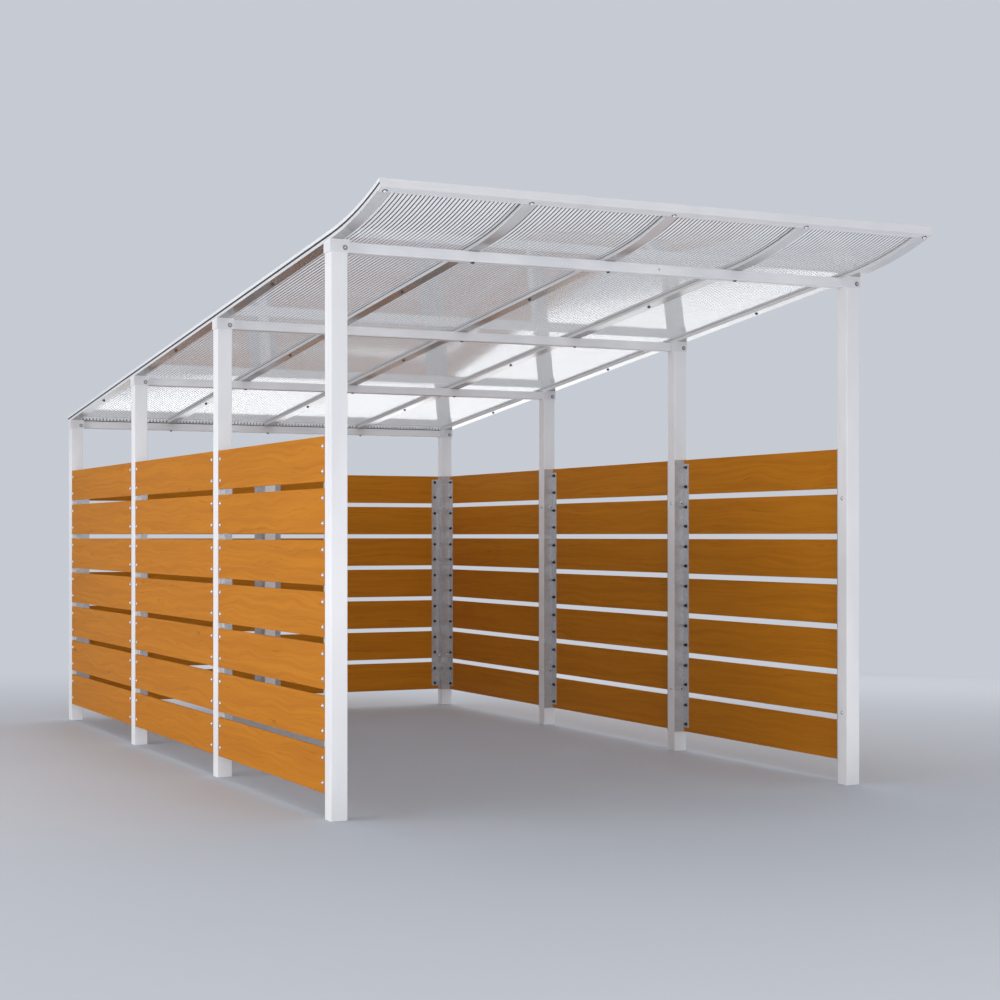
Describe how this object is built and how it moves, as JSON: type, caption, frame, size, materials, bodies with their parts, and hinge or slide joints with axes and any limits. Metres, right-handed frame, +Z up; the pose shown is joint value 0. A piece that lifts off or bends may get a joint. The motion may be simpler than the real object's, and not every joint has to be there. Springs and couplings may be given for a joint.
{
  "type": "bin shelter",
  "caption": "Open-fronted shelter for wheeled bins: square posts, horizontal board walls on three sides and a sloping translucent roof that curves up over the front.",
  "frame": {"origin": "middle of the footprint of the whole shelter, on the ground under the posts", "axes": "+X to the right seen from the open front, +Y from the open front to the back wall, +Z up"},
  "size_m": [2.924, 5.8488, 2.8054],
  "materials": {
    "post_paint": "satin silver-white powder coat on steel tube",
    "beam_paint": "satin light grey powder coat on steel tube",
    "head_bracket_paint": "satin silver-white powder coat on folded plate",
    "rail_aluminium": "smooth extruded aluminium, glossy underside",
    "cover_aluminium": "pale smooth extruded aluminium",
    "trim_aluminium": "pale folded aluminium sheet",
    "translucent_sheet": "clear-white multiwall sheet, glossy",
    "sheet_seal": "pale grey rubber",
    "edge_seal": "dark grey rubber",
    "wood_board": "warm brown wood grain, satin varnish",
    "angle_zinc": "grey zinc-coated folded steel",
    "comb_plastic": "pale moulded plastic",
    "bolt_steel": "bright zinc-plated steel"
  },
  "bodies": {
    "root": {"back_middle_post": "post_paint", "back_wall_1": "wood_board", "back_wall_2": "wood_board", "back_wall_angles": "angle_zinc", "cross_beam_1": "beam_paint", "cross_beam_2": "beam_paint", "cross_beam_3": "beam_paint", "cross_beam_4": "beam_paint", "eave_comb": "comb_plastic", "eave_seal": "edge_seal", "front_trim": "trim_aluminium", "front_trim_bolts": "bolt_steel", "left_head_brackets": "head_bracket_paint", "left_post_1": "post_paint", "left_post_2": "post_paint", "left_post_3": "post_paint", "left_post_4": "post_paint", "left_wall_1": "wood_board", "left_wall_2": "wood_board", "left_wall_3": "wood_board", "left_wall_angles": "angle_zinc", "lower_sheet_seals": "sheet_seal", "rail_cover_1": "cover_aluminium", "rail_cover_2": "cover_aluminium", "rail_cover_3": "cover_aluminium", "rail_cover_4": "cover_aluminium", "rail_cover_5": "cover_aluminium", "right_head_brackets": "head_bracket_paint", "right_post_1": "post_paint", "right_post_2": "post_paint", "right_post_3": "post_paint", "right_post_4": "post_paint", "right_wall_1": "wood_board", "right_wall_2": "wood_board", "right_wall_3": "wood_board", "right_wall_angles": "angle_zinc", "roof_edge_seals": "edge_seal", "roof_rail_1": "rail_aluminium", "roof_rail_2": "rail_aluminium", "roof_rail_3": "rail_aluminium", "roof_rail_4": "rail_aluminium", "roof_rail_5": "rail_aluminium", "roof_sheet_1": "translucent_sheet", "roof_sheet_2": "translucent_sheet", "roof_sheet_3": "translucent_sheet", "roof_sheet_4": "translucent_sheet", "upper_sheet_seals": "sheet_seal"}
  },
  "joints": []
}
